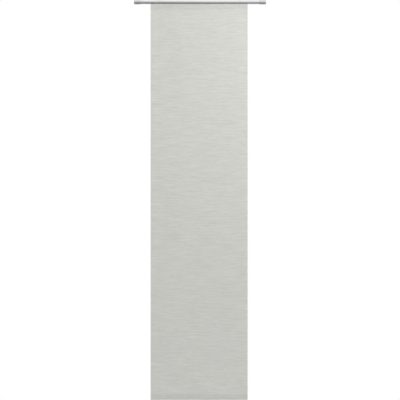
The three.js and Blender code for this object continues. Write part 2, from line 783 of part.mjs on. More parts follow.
const curtain = new THREE.Group();
curtain.add(fixed, sliding);

export default curtain;
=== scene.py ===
# %% [markdown]
# # Dressing a sliding panel curtain
#
# The object is a flat length of slub cloth that slides along a round metal rod under a ceiling.
# Its solids are already measured and placed, so nothing here moves or resizes them. This lesson
# gives each piece its finish, rounds its edges, and makes the cloth as cloth.
#
# Everything is in metres. +X runs along the rod, -Y faces the room and +Z is up. The origin is on
# the ceiling, above the middle of the rod.

# %% Load the measured solids
import math

import bmesh
import bpy
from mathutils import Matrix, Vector


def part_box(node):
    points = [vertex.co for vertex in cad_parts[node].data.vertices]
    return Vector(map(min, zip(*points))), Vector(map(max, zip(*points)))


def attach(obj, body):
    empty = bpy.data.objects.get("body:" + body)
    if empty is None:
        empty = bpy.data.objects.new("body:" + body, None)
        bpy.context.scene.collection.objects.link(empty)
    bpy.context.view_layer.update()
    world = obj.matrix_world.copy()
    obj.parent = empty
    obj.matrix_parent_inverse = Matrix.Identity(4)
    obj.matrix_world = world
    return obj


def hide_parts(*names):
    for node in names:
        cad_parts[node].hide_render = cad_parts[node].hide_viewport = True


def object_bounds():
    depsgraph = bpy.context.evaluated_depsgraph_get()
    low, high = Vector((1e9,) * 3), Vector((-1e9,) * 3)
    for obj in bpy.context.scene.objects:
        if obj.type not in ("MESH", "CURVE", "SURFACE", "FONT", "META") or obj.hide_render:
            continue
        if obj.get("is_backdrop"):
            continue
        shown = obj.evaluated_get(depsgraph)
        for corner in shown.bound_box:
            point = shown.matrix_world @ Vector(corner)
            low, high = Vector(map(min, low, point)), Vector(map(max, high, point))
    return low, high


MM = 0.001

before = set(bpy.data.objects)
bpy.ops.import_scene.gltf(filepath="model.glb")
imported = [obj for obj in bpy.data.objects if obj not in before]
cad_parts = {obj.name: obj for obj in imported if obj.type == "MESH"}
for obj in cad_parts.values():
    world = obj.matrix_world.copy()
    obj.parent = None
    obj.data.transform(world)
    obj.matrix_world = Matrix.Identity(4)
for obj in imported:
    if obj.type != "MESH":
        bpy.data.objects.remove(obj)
cad_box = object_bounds()
scene = bpy.context.scene
print("size in mm:", [round(side / MM, 1) for side in cad_box[1] - cad_box[0]])

# %% [markdown]
# ## The camera
#
# The panel is seen straight from the front and shows no perspective at all, as a long lens shows
# it. The picture is square, and its upper edge cuts through the rod. So two real heights place the
# camera: how much of the panel's plane the picture takes in, and where its upper edge lies.

# %% A long lens, straight in front
LENS_MM = 135.0
SENSOR_MM = 36.0
VIEW_HEIGHT = 2473.9 * MM  # of the panel's plane, from the picture's upper edge to its lower one
VIEW_TOP = -30.1 * MM  # the height of the picture's upper edge, in the rod


def show(name, data):
    """A new object in the scene, with the camera, lamp or mesh that is given."""
    made = bpy.data.objects.new(name, data)
    scene.collection.objects.link(made)
    return made


panel_low, panel_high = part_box("fabric_panel")
distance = VIEW_HEIGHT * LENS_MM / SENSOR_MM
camera_data = bpy.data.cameras.new("front_camera")
camera_data.lens = LENS_MM
camera_data.sensor_width = SENSOR_MM
camera = show("front_camera", camera_data)
camera.location = (0, panel_low.y - distance, VIEW_TOP - VIEW_HEIGHT / 2)
camera.rotation_euler = (math.pi / 2, 0, 0)
scene.camera = camera
print(f"camera {distance:.2f} m in front of the cloth")

# %% [markdown]
# ## Building node trees
#
# Materials, the world and Geometry Nodes are all trees of nodes. One small helper adds a node, sets
# its options, and fills its inputs either with a value or with a link. The rest of the lesson then
# reads as a list of what each tree does.

# %% Helpers for any tree
def add(tree, kind, inputs=None, **options):
    """Adds a node, sets its options, and links or fills its inputs by name or number."""
    made = tree.nodes.new(kind)
    for option, value in options.items():
        setattr(made, option, value)
    for place, value in (inputs or {}).items():
        if isinstance(value, bpy.types.NodeSocket):
            tree.links.new(value, made.inputs[place])
        else:
            made.inputs[place].default_value = value
    return made


def calculate(tree, operation, *values):
    """The result of one arithmetic step."""
    return add(tree, "ShaderNodeMath", dict(enumerate(values)), operation=operation).outputs[0]


def eased(tree, value, start=0.0, end=1.0):
    """Goes softly from 0 to 1 while a value goes from start to end."""
    inputs = {"Value": value, "From Min": start, "From Max": end}
    return add(tree, "ShaderNodeMapRange", inputs, interpolation_type="SMOOTHSTEP").outputs["Result"]


def looked_at(tree, mirrored=1.0):
    """Full for rays that show a thing to the camera: straight on, in a mirror or through glass."""
    ray = add(tree, "ShaderNodeLightPath").outputs
    seen = calculate(tree, "MAXIMUM", ray["Is Camera Ray"], ray["Is Transmission Ray"])
    glossy = calculate(tree, "MULTIPLY", ray["Is Glossy Ray"], mirrored)
    return calculate(tree, "MAXIMUM", seen, glossy)


print("helpers for any tree: add, calculate, eased, looked_at")

# %% [markdown]
# ## The white room
#
# The backdrop is plain white, so the world is white wherever the camera looks past the object, and
# where metal mirrors the wall behind it. What lights the object is softer: bright from above and
# dim from below, as in a white room with its lamps near the ceiling. The rod mirrors that as a
# bright upper side and a grey lower side. More light on the object would also turn the background
# white, but would bleach the cloth.

# %% The world
BELOW = 0.2  # how bright the room is straight below
ABOVE = 1.36  # and straight above
BACKDROP_FROM = 0.35  # how far backwards a direction points where the white wall begins
BACKDROP_FULL = 0.9  # and where it is fully white

world = bpy.data.worlds.new("white_room")
world.use_nodes = True
scene.world = world
sky = world.node_tree
sky.nodes.clear()
direction = add(sky, "ShaderNodeTexCoord").outputs["Generated"]
towards = add(sky, "ShaderNodeSeparateXYZ", {0: direction}).outputs
rise = {"Value": towards["Z"], "From Min": -1.0, "From Max": 1.0, "To Min": BELOW, "To Max": ABOVE}
level = add(sky, "ShaderNodeMapRange", rise).outputs["Result"]
wall = eased(sky, towards["Y"], BACKDROP_FROM, BACKDROP_FULL)
room = add(sky, "ShaderNodeBackground", {"Color": (1, 1, 1, 1), "Strength": level})
white = add(sky, "ShaderNodeBackground", {"Color": (1, 1, 1, 1), "Strength": 1.0})
both = {0: looked_at(sky, mirrored=wall), 1: room.outputs[0], 2: white.outputs[0]}
add(sky, "ShaderNodeOutputWorld", {"Surface": add(sky, "ShaderNodeMixShader", both).outputs[0]})
scene.view_settings.view_transform = "Standard"
print("world level from below:", BELOW, "and from above:", ABOVE)

# %% [markdown]
# ## One wide lamp and one dim card
#
# The cloth is a little brighter at its top right, and fades slowly downwards. A wide lamp in front
# of the object, above it and to its right, gives that. It is large, so that its shadows are soft,
# and metal doesn't mirror it: a mirrored lamp would clip the rod to white. What metal mirrors there
# is a large dim card, so the rod grows slowly brighter towards its right end.

# %% The lamp and the card
LAMP = {"place": (1.5, -1.9, 0.35), "aim": (0.0, 0.0, -0.75), "size": 1.6, "power": 34.0}
CARD = {"place": (0.95, -1.5, -0.25), "aim": (0.95, 0.0, -0.25), "size": 2.0, "power": 3.2}


def area_lamp(name, place, aim, size, power):
    """A square lamp that faces a point."""
    data = bpy.data.lights.new(name, "AREA")
    data.size = size
    data.energy = power
    lamp = show(name, data)
    lamp.location = place
    lamp.rotation_euler = (Vector(aim) - Vector(place)).to_track_quat("-Z", "Y").to_euler()
    return lamp


area_lamp("wide_lamp", **LAMP).visible_glossy = False
area_lamp("dim_card", **CARD).visible_diffuse = False
print("lamp:", LAMP["power"], "W, card:", CARD["power"], "W")

# %% [markdown]
# ## The floor
#
# The panel hangs clear of the floor, which lies a hand's breadth under it. In the front view it is
# below the picture. From higher up it catches a faint shadow. It is a round pale sheet that turns
# into clear air towards its rim, so that no edge shows against the backdrop, and it can't be seen
# from below. It sends a duller light back up than it shows, which keeps the foot of the cloth from
# glowing.

# %% The floor
FLOOR_RADIUS = 0.8
FLOOR_FADES = 0.25 * FLOOR_RADIUS  # it fades from here outwards
FLOOR_GONE = 0.98 * FLOOR_RADIUS  # and is clear from here on
FLOOR_SEEN = (0.85, 0.85, 0.85, 1)
FLOOR_BOUNCE = (0.5, 0.5, 0.5, 1)
FLOOR_GAP = 100 * MM
FLOOR_SIDES = 96


def pale_floor():
    """Pale where it is looked at, dull where it only sends light back, and clear at its rim."""
    material = bpy.data.materials.new("pale_floor")
    material.use_nodes = True
    tree = material.node_tree
    tree.nodes.clear()
    spot = add(tree, "ShaderNodeTexCoord").outputs["Object"]
    reach = add(tree, "ShaderNodeVectorMath", {0: spot}, operation="LENGTH").outputs["Value"]
    fade = eased(tree, reach, FLOOR_FADES, FLOOR_GONE)
    underside = add(tree, "ShaderNodeNewGeometry").outputs["Backfacing"]
    pale = add(tree, "ShaderNodeBsdfDiffuse", {"Color": FLOOR_SEEN}).outputs[0]
    dull = add(tree, "ShaderNodeBsdfDiffuse", {"Color": FLOOR_BOUNCE}).outputs[0]
    solid = add(tree, "ShaderNodeMixShader", {0: looked_at(tree), 1: dull, 2: pale}).outputs[0]
    clear = add(tree, "ShaderNodeBsdfTransparent").outputs[0]
    gone = calculate(tree, "MAXIMUM", fade, underside)
    surface = add(tree, "ShaderNodeMixShader", {0: gone, 1: solid, 2: clear}).outputs[0]
    add(tree, "ShaderNodeOutputMaterial", {"Surface": surface})
    return material


bpy.ops.mesh.primitive_circle_add(vertices=FLOOR_SIDES, radius=FLOOR_RADIUS, fill_type="NGON")
floor = bpy.context.object
floor.name = "floor"
floor.location.z = panel_low.z - FLOOR_GAP
floor.data.materials.append(pale_floor())
floor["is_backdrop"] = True
print("floor at", round(floor.location.z, 3), "m")

# %% [markdown]
# ## What the finishes share
#
# Every finish starts from the same few steps: a shader, the place of a point on the object, and
# noise that is stretched along the way the surface was worked. A brushed rod has noise that is
# long along X, a turned cap has noise that runs round its axis, and cloth has noise that is long
# along its yarns. The place is the object's own, so the pattern stays put when the panel slides.

# %% Helpers for materials
NOISE_LOW = 0.3  # nearly all of a noise lies between these two
NOISE_HIGH = 0.7
GRAIN_FINENESS = 0.55  # how strong each finer layer of a noise is
MIX_SHARE, MIX_FROM, MIX_TO, MIX_RESULT = 0, 6, 7, 2  # the colour sockets of a Mix node


def finish(name, color, roughness, metallic=0.0):
    """A new material: its tree, its shader and the place of a point."""
    material = bpy.data.materials.new(name)
    material.use_nodes = True
    material.diffuse_color = (*color, 1)
    tree = material.node_tree
    shader = tree.nodes["Principled BSDF"]
    shader.inputs["Base Color"].default_value = (*color, 1)
    shader.inputs["Roughness"].default_value = roughness
    shader.inputs["Metallic"].default_value = metallic
    place = add(tree, "ShaderNodeTexCoord").outputs["Object"]
    return material, tree, shader, place


def vector(tree, **parts):
    """A vector from its parts X, Y and Z. A part that isn't given is 0."""
    return add(tree, "ShaderNodeCombineXYZ", parts).outputs[0]


def grain(tree, place, per_metre, detail=3.0):
    """Noise with its own number of changes per metre along X, Y and Z."""
    scaled = add(tree, "ShaderNodeMapping", {"Vector": place, "Scale": per_metre}).outputs[0]
    inputs = {"Vector": scaled, "Scale": 1.0, "Detail": detail, "Roughness": GRAIN_FINENESS}
    return add(tree, "ShaderNodeTexNoise", inputs).outputs["Fac"]


def between(tree, noise, low, high):
    """Noise spread over the whole way from low to high."""
    inputs = {"Value": noise, "From Min": NOISE_LOW, "From Max": NOISE_HIGH}
    inputs |= {"To Min": low, "To Max": high}
    return add(tree, "ShaderNodeMapRange", inputs).outputs["Result"]


def wander(tree, shader, noise, roughness, share=0.15):
    """Lets the roughness wander with the noise, by a share below and above its mean."""
    rough = between(tree, noise, (1 - share) * roughness, (1 + share) * roughness)
    tree.links.new(rough, shader.inputs["Roughness"])


def shade(color, share):
    """A colour made darker or lighter, and never more than white."""
    return tuple(min(1.0, share * part) for part in color)


def tint(tree, shader, noise, dark, light):
    """Links the base colour to a blend from dark to light by the noise."""
    inputs = {MIX_SHARE: between(tree, noise, 0.0, 1.0), MIX_FROM: (*dark, 1), MIX_TO: (*light, 1)}
    blend = add(tree, "ShaderNodeMix", inputs, data_type="RGBA").outputs[MIX_RESULT]
    tree.links.new(blend, shader.inputs["Base Color"])
    return blend


def relief(tree, shader, height, depth, strength=1.0):
    """Raises the surface by a height, depth metres for each whole step of it."""
    bump = add(tree, "ShaderNodeBump", {"Height": height, "Distance": depth, "Strength": strength})
    tree.links.new(bump.outputs["Normal"], shader.inputs["Normal"])
    return bump.outputs["Normal"]


print("helpers for materials: finish, vector, grain, between, wander, shade, tint, relief")

# %% [markdown]
# ## Metal finishes
#
# The rod is an aluminium extrusion, brushed along its length and anodised. The fine lines are a
# bump that hardly changes along X and changes many times a millimetre across. The caps were turned
# on a lathe, so their lines go round: a point's distance along the axis and its radius decide the
# pattern. The brackets are cast and shot-blasted, so their grain has no direction.

# %% Brushed, turned and cast metal
axis_height = sum(corner.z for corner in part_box("end_cap_left")) / 2  # of the rod


def brushed_metal(name, color, roughness):
    """Metal with fine lines along X."""
    material, tree, shader, place = finish(name, color, roughness, metallic=1.0)
    lines = grain(tree, place, (6, 3500, 3500), detail=4)
    wander(tree, shader, grain(tree, place, (5, 40, 40)), roughness)
    tint(tree, shader, lines, shade(color, 0.96), shade(color, 1.04))
    relief(tree, shader, lines, 0.004 * MM)
    return material


def turned_metal(name, color, roughness):
    """Metal with fine lines round the rod's axis."""
    material, tree, shader, place = finish(name, color, roughness, metallic=1.0)
    parts = add(tree, "ShaderNodeSeparateXYZ", {0: place}).outputs
    up = calculate(tree, "SUBTRACT", parts["Z"], axis_height)
    across = vector(tree, Y=parts["Y"], Z=up)
    radius = add(tree, "ShaderNodeVectorMath", {0: across}, operation="LENGTH").outputs["Value"]
    rings = grain(tree, vector(tree, X=parts["X"], Y=radius), (2800, 2800, 1), detail=4)
    wander(tree, shader, grain(tree, place, (60, 60, 60)), roughness)
    tint(tree, shader, rings, shade(color, 0.95), shade(color, 1.04))
    relief(tree, shader, rings, 0.005 * MM)
    return material


def cast_metal(name, color, roughness):
    """Metal with the fine, even pits of a shot-blasted casting."""
    material, tree, shader, place = finish(name, color, roughness, metallic=1.0)
    clouds = grain(tree, place, (90, 90, 90))
    wander(tree, shader, clouds, roughness, share=0.1)
    tint(tree, shader, clouds, shade(color, 0.94), shade(color, 1.03))
    relief(tree, shader, grain(tree, place, (1600, 1600, 1600), detail=5), 0.02 * MM)
    return material


rod_metal = brushed_metal("brushed_rod_metal", color=(0.68, 0.683, 0.687), roughness=0.3)
carrier_metal = brushed_metal("carrier_mill_metal", color=(0.75, 0.755, 0.76), roughness=0.42)
bar_metal = brushed_metal("bar_mill_metal", color=(0.72, 0.725, 0.73), roughness=0.45)
cap_metal = turned_metal("turned_cap_metal", color=(0.62, 0.623, 0.627), roughness=0.27)
bracket_metal = cast_metal("cast_bracket_metal", color=(0.69, 0.695, 0.7), roughness=0.42)
screw_steel = cast_metal("zinc_screw_steel", color=(0.6, 0.61, 0.62), roughness=0.3)
for metal in (rod_metal, carrier_metal, bar_metal, cap_metal, bracket_metal, screw_steel):
    print(f"{metal.name}: {len(metal.node_tree.nodes)} nodes")

# %% [markdown]
# ## Moulded plastic
#
# Gliders and end stops are natural nylon: milky, a little waxy, and slightly see-through at their
# edges, which a small share of subsurface scattering gives. The caps of the weight bar and the
# hook tape are harder and duller.

# %% Nylon and moulded caps
def moulded_plastic(name, color, roughness, glow=0.0):
    """Plastic with the faint unevenness of a moulded face."""
    material, tree, shader, place = finish(name, color, roughness)
    shader.inputs["Subsurface Weight"].default_value = glow
    shader.inputs["Subsurface Radius"].default_value = (1, 0.95, 0.85)  # blue goes in least
    shader.inputs["Subsurface Scale"].default_value = 1.2 * MM
    clouds = grain(tree, place, (220, 220, 220))
    wander(tree, shader, clouds, roughness, share=0.12)
    tint(tree, shader, clouds, shade(color, 0.96), color)
    relief(tree, shader, grain(tree, place, (2600, 2600, 2600)), 0.01 * MM)
    return material


nylon = moulded_plastic("natural_nylon", color=(0.8, 0.8, 0.76), roughness=0.42, glow=0.25)
bar_cap_plastic = moulded_plastic("moulded_bar_cap", color=(0.71, 0.71, 0.69), roughness=0.55)
hook_plastic = moulded_plastic("hook_tape_plastic", color=(0.73, 0.73, 0.7), roughness=0.6, glow=0.1)
print("plastics:", nylon.name, bar_cap_plastic.name, hook_plastic.name)

# %% [markdown]
# ## Rounded copies of the rigid pieces
#
# The measured solids are exact but faceted, and a real edge is never perfectly sharp. Their own
# meshes must stay as they are, so each piece is a copy. Its loose triangles are joined at their
# corners, the triangles of each flat face become one face, a bevel rounds the sharp edges, and
# smooth shading hides the facets of round walls. Smooth shading alone would make flat faces look
# swollen, so the large faces are given the most say in the normals. The copy keeps the size of its
# solid.

# %% Finishing one solid
WELD = 1e-6  # points nearer than this become one
FLAT = math.radians(0.5)  # faces that lean less than this against each other become one
SHARP = math.radians(30)  # edges that turn more than this count as sharp
ROUND_STEPS = 2  # faces round a rounded edge


def settle(piece):
    """Makes what a piece's modifiers show its own mesh, and takes the modifiers away."""
    ready = piece.evaluated_get(bpy.context.evaluated_depsgraph_get())
    piece.data = bpy.data.meshes.new_from_object(ready)
    piece.modifiers.clear()


def finished(node, body, material, edge):
    """A smooth copy of a solid with edges rounded by that many metres, riding on its body."""
    mesh = bpy.data.meshes.new(f"{node}_finished")
    work = bmesh.new()
    work.from_mesh(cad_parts[node].data)
    bmesh.ops.remove_doubles(work, verts=work.verts, dist=WELD)
    bmesh.ops.dissolve_limit(work, angle_limit=FLAT, verts=work.verts, edges=work.edges)
    for face in work.faces:
        face.smooth = True
    work.to_mesh(mesh)
    work.free()
    if "custom_normal" in mesh.attributes:
        mesh.attributes.remove(mesh.attributes["custom_normal"])  # it was for the loose triangles
    piece = show(mesh.name, mesh)
    bevel = piece.modifiers.new("round_edges", "BEVEL")
    bevel.width = edge
    bevel.segments = ROUND_STEPS
    bevel.limit_method = "ANGLE"
    bevel.angle_limit = SHARP
    piece.modifiers.new("flat_faces", "WEIGHTED_NORMAL").keep_sharp = True
    settle(piece)
    piece.data.name = mesh.name
    piece.data.materials.clear()
    piece.data.materials.append(material)
    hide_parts(node)
    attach(piece, body)
    return piece


def report(*pieces):
    """Prints how many triangles each piece has."""
    for piece in pieces:
        faces = sum(len(face.vertices) - 2 for face in piece.data.polygons)
        print(f"{piece.name}: {faces} triangles")


print(f"edges that turn more than {math.degrees(SHARP):.0f} degrees are rounded")

# %% [markdown]
# ## The rod and what holds it
#
# The rod, its caps, brackets, screws, nuts and stops never move, so they all ride on the rail. The
# left and right pieces are alike and differ only in their place, so a loop makes both. The rod's
# upper side shows no sign of what holds it, so the brackets aren't mirrored in the metal.

# %% The fixed pieces
IN_PAIRS = {  # slot, material and how far the edges are rounded
    "end_cap": ("cap_metal", cap_metal, 0.35 * MM),
    "cap_screw": ("fastener_steel", screw_steel, 0.12 * MM),
    "ceiling_bracket": ("bracket_metal", bracket_metal, 0.5 * MM),
    "clamp_screw": ("fastener_steel", screw_steel, 0.15 * MM),
    "channel_nut": ("fastener_steel", screw_steel, 0.3 * MM),
    "end_stop": ("glider_nylon", nylon, 0.3 * MM),
    "stop_screw": ("fastener_steel", screw_steel, 0.12 * MM),
}

report(finished("track_rod", "rail", rod_metal, 0.2 * MM))
for kind, (slot, material, edge) in IN_PAIRS.items():
    for side in ("left", "right"):
        piece = finished(f"{kind}_{side}", "rail", material, edge)
        piece.visible_glossy = kind != "ceiling_bracket"
        report(piece)

# %% [markdown]
# ## What slides
#
# The gliders, the carrier and the weight bar with its caps ride on the panel. They are rigid, and
# their copies are made in the same way.

# %% The sliding rigid pieces
GLIDERS = 4

for number in range(1, GLIDERS + 1):
    report(finished(f"glider_{number}", "panel", nylon, 0.2 * MM))
report(finished("carrier", "panel", carrier_metal, 0.25 * MM))
report(finished("weight_bar", "panel", bar_metal, 0.2 * MM))
for side in ("left", "right"):
    report(finished(f"bar_cap_{side}", "panel", bar_cap_plastic, 0.15 * MM))

# %% [markdown]
# ## The cloth's colour and weave
#
# The cloth is a pale green-grey plain weave with slub yarns, thick and thin places along the weft
# that show as fine level streaks. Three scales of pattern are laid over each other: streaks that
# show from across a room, the tone of each single yarn, and the crossing of warp and weft as a
# bump. Noise that is only stretched along the weft would lean a little this way and that, and yarns
# lie level. So noise is read at the number of a row instead: it drifts slowly along a row, and has
# nothing to do with the next. A yarn's tone ends sharply at its edge. A streak fades into the next
# row, and there are coarse and fine ones, so that no even bands show.
#
# The cloth is also thin enough that some light comes through it. So the hem and the foot pocket,
# with metal behind them, look a little darker. A share of translucent shader does that. The
# seams' thread is polyester, so it gets a dull plastic.

# %% Slub cloth
CLOTH_DARK = (0.628, 0.632, 0.601)
CLOTH_LIGHT = (0.765, 0.770, 0.733)
SLUB_LIGHTER = 1.08  # than the cloth round it
THREAD_COLOR = (0.6, 0.605, 0.565)
YARNS_PER_METRE = 1700
STREAKS_PER_METRE = (210, 370)  # rows of streaks down the cloth, coarse and fine
STREAK_DRIFT = 9.0  # changes per metre along a streak
YARN_DRIFT = 30.0  # changes per metre along a yarn
NEXT_ROW = 1.13  # from one row to the next in the noise, so far that they aren't alike
ROW_FINENESS = 0.65  # how strong each finer layer of that noise is
STREAK_DETAIL, YARN_DETAIL = 3.0, 1.0  # how many finer layers it has
STREAK_SHARE, WEFT_SHARE, WARP_SHARE = 0.59, 0.5, 0.2  # how much each counts in the tone
WEAVE_DEPTH = 0.04 * MM
WEAVE_STRENGTH = 0.7
THICK_YARN = 3.0  # how much a thick yarn rises, against the crossing of two yarns
SHOWS_THROUGH = 0.28  # share of translucent shader


def row_tone(tree, along, row, drift, detail):
    """Noise with its own value for each row, which changes slowly along the row."""
    x = calculate(tree, "MULTIPLY", along, drift)
    spot = vector(tree, X=x, Y=calculate(tree, "MULTIPLY", row, NEXT_ROW))
    inputs = {"Vector": spot, "Scale": 1.0, "Detail": detail, "Roughness": ROW_FINENESS}
    return add(tree, "ShaderNodeTexNoise", inputs).outputs["Fac"]


def yarn_tone(tree, along, across):
    """The tone of each single yarn."""
    number = calculate(tree, "FLOOR", calculate(tree, "MULTIPLY", across, float(YARNS_PER_METRE)))
    return row_tone(tree, along, number, YARN_DRIFT, YARN_DETAIL)


def level_streaks(tree, along, across, per_metre):
    """Level streaks, each of which fades into the one in the next row."""
    place = calculate(tree, "MULTIPLY", across, float(per_metre))
    row = calculate(tree, "FLOOR", place)
    next_row = calculate(tree, "ADD", row, 1.0)
    here = row_tone(tree, along, row, STREAK_DRIFT, STREAK_DETAIL)
    beyond = row_tone(tree, along, next_row, STREAK_DRIFT, STREAK_DETAIL)
    change = calculate(tree, "SUBTRACT", beyond, here)
    return calculate(tree, "MULTIPLY_ADD", change, eased(tree, calculate(tree, "FRACT", place)), here)


def crossings(tree, x, z):
    """Yarns going over and under each other: waves that change sides at every crossing."""
    turns = math.pi * YARNS_PER_METRE
    over = calculate(tree, "SINE", calculate(tree, "MULTIPLY", x, turns))
    under = calculate(tree, "SINE", calculate(tree, "MULTIPLY", z, turns))
    return calculate(tree, "MULTIPLY", over, under)


def slub_cloth(name, dark, light):
    """Plain weave in tones from dark to light."""
    material, tree, shader, place = finish(name, light, roughness=0.92)
    shader.inputs["Specular IOR Level"].default_value = 0.25
    shader.inputs["Sheen Weight"].default_value = 0.12
    shader.inputs["Sheen Roughness"].default_value = 0.5
    parts = add(tree, "ShaderNodeSeparateXYZ", {0: place}).outputs
    weft = yarn_tone(tree, parts["X"], parts["Z"])
    warp = yarn_tone(tree, parts["Z"], parts["X"])
    pattern = calculate(tree, "MULTIPLY", weft, WEFT_SHARE)
    pattern = calculate(tree, "MULTIPLY_ADD", warp, WARP_SHARE, pattern)
    for per_metre in STREAKS_PER_METRE:
        streaks = level_streaks(tree, parts["X"], parts["Z"], per_metre)
        pattern = calculate(tree, "MULTIPLY_ADD", streaks, STREAK_SHARE, pattern)
    surplus = (len(STREAKS_PER_METRE) * STREAK_SHARE + WEFT_SHARE + WARP_SHARE - 1) / 2
    color = tint(tree, shader, calculate(tree, "SUBTRACT", pattern, surplus), dark, light)

    height = calculate(tree, "MULTIPLY_ADD", weft, THICK_YARN, crossings(tree, parts["X"], parts["Z"]))
    normal = relief(tree, shader, height, WEAVE_DEPTH, WEAVE_STRENGTH)
    through = add(tree, "ShaderNodeBsdfTranslucent", {"Color": color, "Normal": normal}).outputs[0]
    both = add(tree, "ShaderNodeMixShader", {0: SHOWS_THROUGH, 1: shader.outputs[0], 2: through})
    tree.links.new(both.outputs[0], tree.nodes["Material Output"].inputs["Surface"])
    return material


cloth = slub_cloth("slub_cloth", CLOTH_DARK, CLOTH_LIGHT)
slub_yarn = slub_cloth("slub_yarn", shade(CLOTH_DARK, SLUB_LIGHTER), shade(CLOTH_LIGHT, SLUB_LIGHTER))
seam_thread = moulded_plastic("seam_thread", THREAD_COLOR, roughness=0.6)
print("yarns per centimetre:", YARNS_PER_METRE / 100)

# %% [markdown]
# ## The line that the cloth follows
#
# Seen from its edge, the panel is one long line. It starts at the hem's free edge at the back,
# goes up and over the top fold, runs down the front, turns round the foot pocket, narrows to the
# pocket's seam and ends in a short turn-up. Every place on it comes from the solids beside it, so
# the hem lies against the loop tape, in front of the carrier, and the pocket wraps the weight bar.

# %% Places along the cloth
CLOTH = 0.6 * MM  # thickness
SEWN = 0.2 * MM  # between two layers that are sewn together, or the hem and its tape
HEM_BELOW_CARRIER = 0.8 * MM
HEM_SEAM = 4 * MM  # above the hem's free edge
POCKET_PLAY = 0.3 * MM  # between the bar's caps and the pocket
POCKET_ROOM = 2.4 * MM  # above the weight bar
POCKET_NECK = 5 * MM  # height over which the pocket narrows to its seam
POCKET_TURNUP = 5 * MM  # above the seam
FACE_HEIGHT = 8 * MM  # of the faces down the front
TOP_STEPS, FOOT_STEPS, NECK_STEPS = 12, 16, 10  # rows of faces round the folds and up the neck

hem_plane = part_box("loop_tape")[0].y - SEWN - CLOTH / 2
face_plane = hem_plane - CLOTH - SEWN
hem_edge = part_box("carrier")[0].z - HEM_BELOW_CARRIER
bar_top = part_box("bar_cap_left")[1]
pocket_plane = bar_top.y + POCKET_PLAY + CLOTH / 2
seam_plane = face_plane + CLOTH + SEWN
pocket_seam = bar_top.z + POCKET_ROOM + POCKET_NECK


def turn(middle_y, middle_z, radius, start, end, steps):
    """Points on an arc, angles in degrees from the back (+Y) towards the top."""
    angles = [math.radians(start + (end - start) * step / steps) for step in range(steps + 1)]
    return [(middle_y + radius * math.cos(a), middle_z + radius * math.sin(a)) for a in angles]


def straight(y, start, end, step):
    """Points on an upright stretch, without its two ends."""
    count = max(1, round(abs(end - start) / step))
    return [(y, start + (end - start) * index / count) for index in range(1, count)]


def soft(share):
    """A share of a way that starts and ends gently."""
    return share * share * (3 - 2 * share)


def neck():
    """The pocket's back layer eases in to the seam as a soft S."""
    low = pocket_seam - POCKET_NECK
    reach = seam_plane - pocket_plane
    shares = [step / NECK_STEPS for step in range(NECK_STEPS + 1)]
    return [(pocket_plane + reach * soft(share), low + POCKET_NECK * share) for share in shares]


top_bend = (hem_plane - face_plane) / 2
foot_bend = (pocket_plane - face_plane) / 2
top_middle = panel_high.z - CLOTH / 2 - top_bend
foot_middle = panel_low.z + CLOTH / 2 + foot_bend
cloth_line = [(hem_plane, hem_edge), *straight(hem_plane, hem_edge, top_middle, FACE_HEIGHT / 2)]
cloth_line += turn(face_plane + top_bend, top_middle, top_bend, 0, 180, TOP_STEPS)
cloth_line += straight(face_plane, top_middle, foot_middle, FACE_HEIGHT)
cloth_line += turn(face_plane + foot_bend, foot_middle, foot_bend, 180, 360, FOOT_STEPS)
cloth_line += straight(pocket_plane, foot_middle, pocket_seam - POCKET_NECK, FACE_HEIGHT / 2)
cloth_line += [*neck(), (seam_plane, pocket_seam + POCKET_TURNUP)]
cut_width = panel_high.x - panel_low.x

# %% [markdown]
# ## The cloth itself
#
# The line is swept across the panel's width into a sheet of small faces, and Solidify gives the
# sheet its thickness. A cloth simulation would find this same flat shape, because a bar in its
# foot pulls the panel straight, so none is run. Hanging cloth is never perfectly flat even so, and
# all of it sways by a fraction of a millimetre. The sway dies out at the hem and at the pocket,
# where metal holds it straight.

# %% Sheet, thickness and sway
COLUMNS = 60  # of faces across the panel
SWAY = 0.9 * MM  # as far as the cloth ever leans out of its plane
CALM = 260 * MM  # from the hem or the pocket to where the sway is full
# Two waves: start and wander are angles in radians, and share is a wave's part of the sway.
ACROSS = {"length": 370 * MM, "start": 1.1, "wander": 0.9, "pace": 2.3, "share": 0.6}
DOWN = {"length": 1150 * MM, "start": 0.0, "wander": 0.7, "pace": 5.0, "share": 0.4}


def wave(shape, along, beside):
    """A soft wave whose crests wander a little to the side."""
    phase = shape["start"] + shape["wander"] * math.sin(shape["pace"] * beside)
    return shape["share"] * math.sin(2 * math.pi * along / shape["length"] + phase)


def sway(x, z):
    """How far the cloth leans out of its plane at a place on the panel."""
    down = (hem_edge - z) / CALM
    up = (z - pocket_seam - POCKET_TURNUP) / CALM
    hold = soft(max(0.0, min(1.0, down, up)))
    return SWAY * hold * (wave(ACROSS, x, z) + wave(DOWN, z, x))


def hang(mesh):
    """Moves every point of a mesh by the sway of the cloth."""
    for vertex in mesh.vertices:
        vertex.co.y += sway(vertex.co.x, vertex.co.z)


def swept_sheet(name, line, low_x, high_x):
    """A sheet with the line as its section."""
    stops = [low_x + (high_x - low_x) * column / COLUMNS for column in range(COLUMNS + 1)]
    points = [(x, y, z) for y, z in line for x in stops]
    faces = []
    for row in range(len(line) - 1):
        for column in range(COLUMNS):
            corner = row * len(stops) + column
            above = corner + len(stops)
            faces.append((corner, corner + 1, above + 1, above))
    mesh = bpy.data.meshes.new(name)
    mesh.from_pydata(points, [], faces)
    return mesh


swept = swept_sheet("cloth_panel", cloth_line, panel_low.x, panel_high.x)
sheet = show(swept.name, swept)
thickness = sheet.modifiers.new("thickness", "SOLIDIFY")
thickness.thickness = CLOTH
thickness.offset = 0
thickness.use_even_offset = True
settle(sheet)
sheet.data.polygons.foreach_set("use_smooth", [True] * len(sheet.data.polygons))
sheet.data.set_sharp_from_angle(angle=SHARP)
hang(sheet.data)
sheet.data.materials.append(cloth)
report(sheet)

